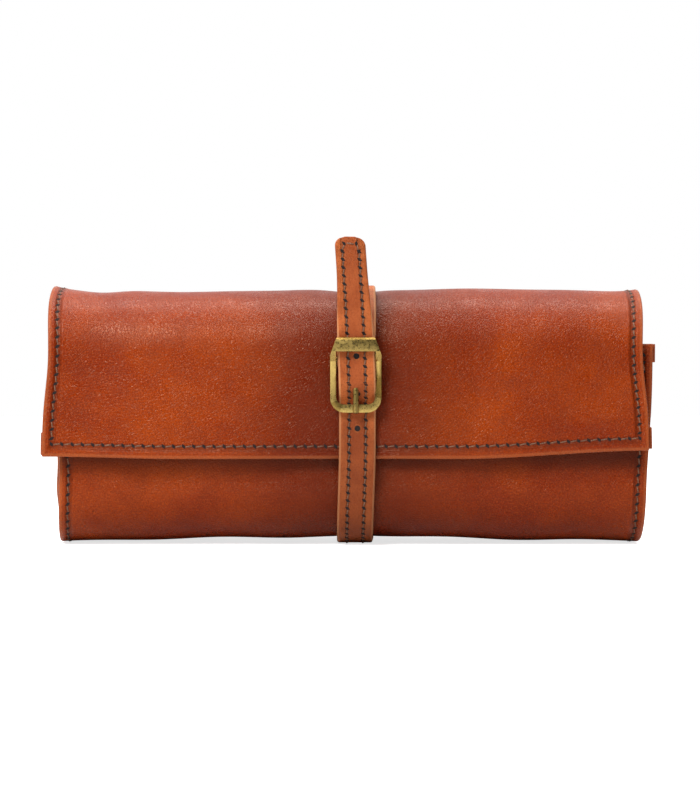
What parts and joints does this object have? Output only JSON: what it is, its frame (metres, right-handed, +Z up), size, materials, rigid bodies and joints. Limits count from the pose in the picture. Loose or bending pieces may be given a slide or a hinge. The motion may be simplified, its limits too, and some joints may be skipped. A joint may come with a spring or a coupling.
{
  "type": "brush roll case",
  "caption": "Leather roll case for long artist brushes: wrapped sheet with front flap, closed by one strap through a brass buckle with a prong and keeper plate.",
  "frame": {"origin": "on the table under the middle of the case, at the foot of the strap", "axes": "+X along the roll, to the right as the buckle is faced; -Y is the front with the flap and buckle; +Z is up"},
  "size_m": [0.3291, 0.1091, 0.167],
  "materials": {
    "case_leather": "semi-gloss pebbled cognac leather",
    "lining": "matt suede side",
    "pocket_leather": "soft satin tan leather",
    "strap_leather": "satin orange-tan strap leather with pale cut edges",
    "thread": "waxed grey-brown thread",
    "brass": "antique brass, dark in the recesses"
  },
  "bodies": {
    "bottom": {"bottom_panel": "case_leather", "bottom_lining": "lining", "bottom_edge_stitching": "thread", "bottom_pocket": "pocket_leather", "strap_bottom": "strap_leather", "strap_bottom_stitching": "thread"},
    "back": {"back_panel": "case_leather", "back_lining": "lining", "back_edge_stitching": "thread", "back_pocket": "pocket_leather", "strap_back": "strap_leather", "strap_back_stitching": "thread"},
    "top": {"top_panel": "case_leather", "top_lining": "lining", "top_edge_stitching": "thread", "strap_top": "strap_leather", "strap_top_stitching": "thread"},
    "flap": {"flap_panel": "case_leather", "flap_lining": "lining", "flap_edge_stitching": "thread", "flap_facing": "case_leather", "buckle_strap": "strap_leather", "buckle_strap_stitching": "thread"},
    "front": {"front_panel": "case_leather", "front_lining": "lining", "front_edge_stitching": "thread", "front_pocket": "pocket_leather", "front_facing": "case_leather", "billet": "strap_leather", "billet_stitching": "thread"},
    "strap_end": {"billet_end": "strap_leather", "billet_end_stitching": "thread"},
    "buckle": {"buckle_frame": "brass", "buckle_center_bar": "brass"},
    "prong": {"buckle_prong": "brass"}
  },
  "joints": [
    {"name": "back_fold", "type": "hinge", "parent": "bottom", "child": "back", "pos_m": [0, 0.03776, 0.00944], "axis": [-1, 0, 0], "range_deg": [0, 80], "stiffness_Nm_per_rad": 0.8, "springref_deg": -17.19},
    {"name": "top_fold", "type": "hinge", "parent": "back", "child": "top", "pos_m": [0, 0.03542, 0.13342], "axis": [-1, 0, 0], "range_deg": [0, 80], "stiffness_Nm_per_rad": 0.6, "springref_deg": -17.19},
    {"name": "flap_fold", "type": "hinge", "parent": "top", "child": "flap", "pos_m": [0, -0.03742, 0.13342], "axis": [-1, 0, 0], "range_deg": [0, 80], "stiffness_Nm_per_rad": 0.4, "springref_deg": -17.19},
    {"name": "front_fold", "type": "hinge", "parent": "bottom", "child": "front", "pos_m": [0, -0.03576, 0.00944], "axis": [1, 0, 0], "range_deg": [0, 80], "stiffness_Nm_per_rad": 0.5, "springref_deg": -17.19, "deforming": ["front_panel", "front_lining", "front_edge_stitching", "front_pocket", "front_facing", "billet", "billet_stitching", "billet_end", "billet_end_stitching"]},
    {"name": "strap_end_flex", "type": "hinge", "parent": "front", "child": "strap_end", "pos_m": [0.0054, -0.05705, 0.1154], "axis": [-1, 0, 0], "range_deg": [-12, 20], "stiffness_Nm_per_rad": 0.05},
    {"name": "buckle_rock", "type": "hinge", "parent": "flap", "child": "buckle", "pos_m": [0.0054, -0.0514, 0.1016], "axis": [-1, 0, 0], "range_deg": [0, 8]},
    {"name": "prong_swing", "type": "hinge", "parent": "buckle", "child": "prong", "pos_m": [0.0054, -0.0514, 0.1016], "axis": [-1, 0, 0], "range_deg": [0, 75]}
  ],
  "couplings": [
    {"joint": "front_fold", "follows": "flap_fold", "ratio": 1}
  ]
}
